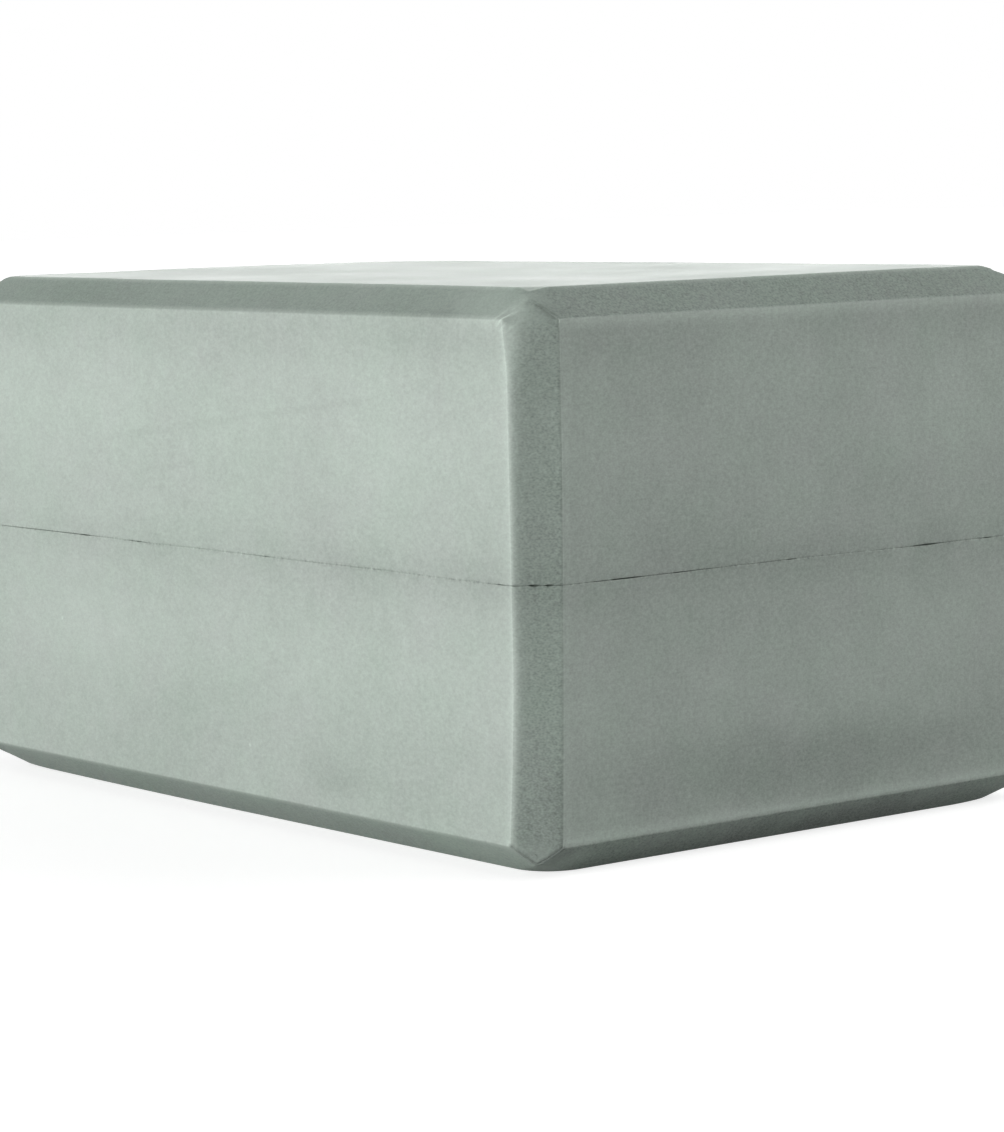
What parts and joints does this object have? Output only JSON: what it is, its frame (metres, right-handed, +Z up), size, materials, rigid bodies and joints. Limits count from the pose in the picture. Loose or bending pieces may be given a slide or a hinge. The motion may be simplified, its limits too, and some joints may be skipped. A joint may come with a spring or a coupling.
{
  "type": "yoga block",
  "caption": "Laminated foam yoga block: bevelled brick of sage-green closed-cell foam layers bonded at mid-height, used as a prop or support.",
  "frame": {"origin": "middle of the base face, on the floor that the block lies on", "axes": "+X along the length, +Y across the width, +Z up through the layers"},
  "size_m": [0.23, 0.152, 0.125],
  "materials": {
    "foam": "matte sage-green closed-cell EVA foam, fine grain, bevels cut a little coarser and darker",
    "adhesive": "dull dark line of dried contact cement"
  },
  "bodies": {
    "root": {"upper_foam_slab": "foam", "lower_foam_slab": "foam", "adhesive_film": "adhesive"}
  },
  "joints": []
}
